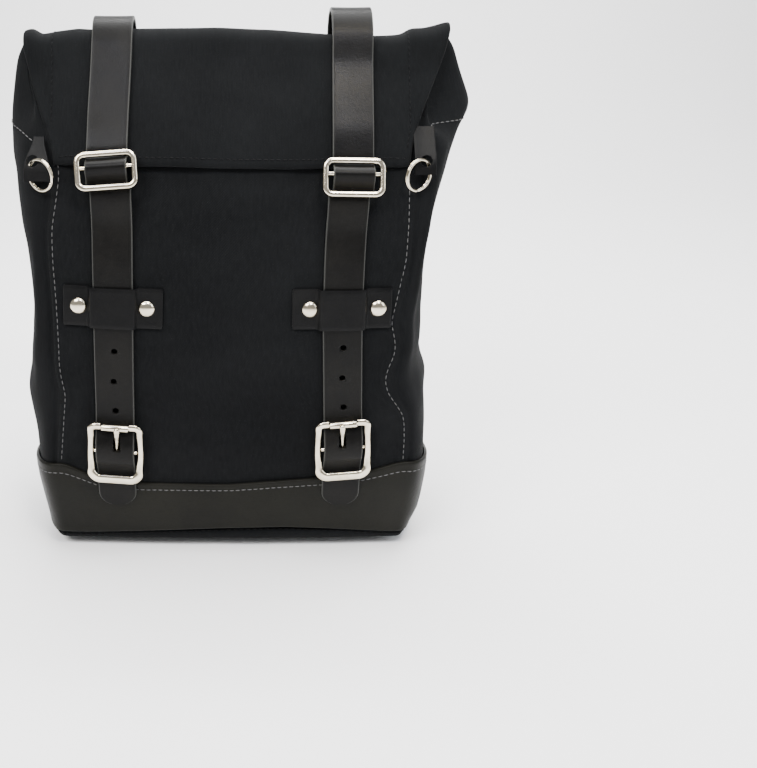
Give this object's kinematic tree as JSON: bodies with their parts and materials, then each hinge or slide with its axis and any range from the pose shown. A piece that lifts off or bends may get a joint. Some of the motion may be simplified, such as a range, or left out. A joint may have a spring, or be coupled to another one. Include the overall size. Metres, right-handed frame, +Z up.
{
  "type": "pannier bag",
  "caption": "Canvas pannier bag with a leather base band and a fold-over mouth, closed by leather straps with slide adjusters, riveted keepers and roller buckles, with a ring at each side",
  "frame": {"origin": "middle of the flat underside that the bag stands on", "axes": "+X to the right of someone facing the front, -Y out of the strapped front, +Y to the rack, +Z up"},
  "size_m": [0.332, 0.18, 0.414],
  "materials": {
    "canvas": "black waxed cotton canvas",
    "leather": "black bridle leather, waxed",
    "nickel": "polished nickel plate",
    "board": "plain polyethylene board"
  },
  "bodies": {
    "bag": {"front_panel": "canvas", "side_panel_right": "canvas", "back_panel": "canvas", "side_panel_left": "canvas", "base_panel": "canvas", "base_board": "board", "back_stiffener": "board", "base_band": "leather", "strap_back_run_left": "leather", "keeper_left": "leather", "rack_loop_left": "leather", "keeper_rivet_left_inner": "nickel", "keeper_rivet_left_outer": "nickel", "anchor_rivet_left_low": "nickel", "anchor_rivet_left_high": "nickel", "loop_rivet_left_low": "nickel", "loop_rivet_left_high": "nickel", "buckle_chape_left": "leather", "ring_tab_left": "leather", "strap_back_run_right": "leather", "keeper_right": "leather", "rack_loop_right": "leather", "keeper_rivet_right_inner": "nickel", "keeper_rivet_right_outer": "nickel", "anchor_rivet_right_low": "nickel", "anchor_rivet_right_high": "nickel", "loop_rivet_right_low": "nickel", "loop_rivet_right_high": "nickel", "buckle_chape_right": "leather", "ring_tab_right": "leather"},
    "flap": {"flap": "canvas", "upper_strap_left": "leather", "upper_strap_right": "leather", "strap_bend_left": "leather", "strap_bend_right": "leather"},
    "lower_strap_left": {"lower_strap_left": "leather"},
    "slide_left": {"slide_left": "nickel"},
    "buckle_left": {"buckle_frame_left": "nickel"},
    "roller_left": {"buckle_roller_left": "nickel"},
    "tongue_left": {"buckle_tongue_left": "nickel"},
    "ring_left": {"strap_ring_left": "nickel"},
    "lower_strap_right": {"lower_strap_right": "leather"},
    "slide_right": {"slide_right": "nickel"},
    "buckle_right": {"buckle_frame_right": "nickel"},
    "roller_right": {"buckle_roller_right": "nickel"},
    "tongue_right": {"buckle_tongue_right": "nickel"},
    "ring_right": {"strap_ring_right": "nickel"}
  },
  "joints": [
    {"name": "flap_fold", "type": "hinge", "parent": "bag", "child": "flap", "pos_m": [0, 0.009, 0.3915], "axis": [-1, 0, 0], "range_deg": [0, 140], "deforming": ["strap_bend_left", "strap_bend_right"]},
    {"name": "strap_hang_left", "type": "hinge", "parent": "flap", "child": "lower_strap_left", "pos_m": [-0.0865, -0.06665, 0.29421], "axis": [1, 0, 0], "range_deg": [0, 124], "deforming": ["lower_strap_left"]},
    {"name": "slide_tilt_left", "type": "hinge", "parent": "flap", "child": "slide_left", "pos_m": [-0.08867, -0.06615, 0.30934], "axis": [0.9976, 0.0239, 0.0655], "range_deg": [-2.5, 4]},
    {"name": "buckle_tilt_left", "type": "hinge", "parent": "bag", "child": "buckle_left", "pos_m": [-0.0865, -0.07923, 0.09], "axis": [0.9969, 0, -0.0785], "range_deg": [-3, 5]},
    {"name": "tongue_lift_left", "type": "hinge", "parent": "buckle_left", "child": "tongue_left", "pos_m": [-0.0865, -0.07923, 0.09], "axis": [0.9969, 0, -0.0785], "range_deg": [0, 65]},
    {"name": "roller_spin_left", "type": "hinge", "parent": "buckle_left", "child": "roller_left", "pos_m": [-0.08477, -0.08273, 0.11193], "axis": [0.9969, 0, -0.0785], "continuous": true},
    {"name": "ring_swing_left", "type": "hinge", "parent": "bag", "child": "ring_left", "pos_m": [-0.1405, -0.0562, 0.311], "axis": [-0.8394, 0.0596, -0.5402], "range_deg": [0, 110]},
    {"name": "strap_hang_right", "type": "hinge", "parent": "flap", "child": "lower_strap_right", "pos_m": [0.0865, -0.06665, 0.28921], "axis": [1, 0, 0], "range_deg": [0, 124], "deforming": ["lower_strap_right"]},
    {"name": "slide_tilt_right", "type": "hinge", "parent": "flap", "child": "slide_right", "pos_m": [0.08854, -0.06615, 0.30435], "axis": [0.9998, -0.006, -0.0164], "range_deg": [-2.5, 4]},
    {"name": "buckle_tilt_right", "type": "hinge", "parent": "bag", "child": "buckle_right", "pos_m": [0.0865, -0.07923, 0.093], "axis": [0.9962, 0, 0.0872], "range_deg": [-3, 5]},
    {"name": "tongue_lift_right", "type": "hinge", "parent": "buckle_right", "child": "tongue_right", "pos_m": [0.0865, -0.07923, 0.093], "axis": [0.9962, 0, 0.0872], "range_deg": [0, 65]},
    {"name": "roller_spin_right", "type": "hinge", "parent": "buckle_right", "child": "roller_right", "pos_m": [0.08458, -0.08273, 0.11492], "axis": [0.9962, 0, 0.0872], "continuous": true},
    {"name": "ring_swing_right", "type": "hinge", "parent": "bag", "child": "ring_right", "pos_m": [0.1405, -0.0562, 0.311], "axis": [-0.8394, -0.0596, 0.5402], "range_deg": [0, 110]}
  ],
  "couplings": [
    {"joint": "strap_hang_left", "follows": "flap_fold", "ratio": 0.883},
    {"joint": "strap_hang_right", "follows": "flap_fold", "ratio": 0.883}
  ]
}
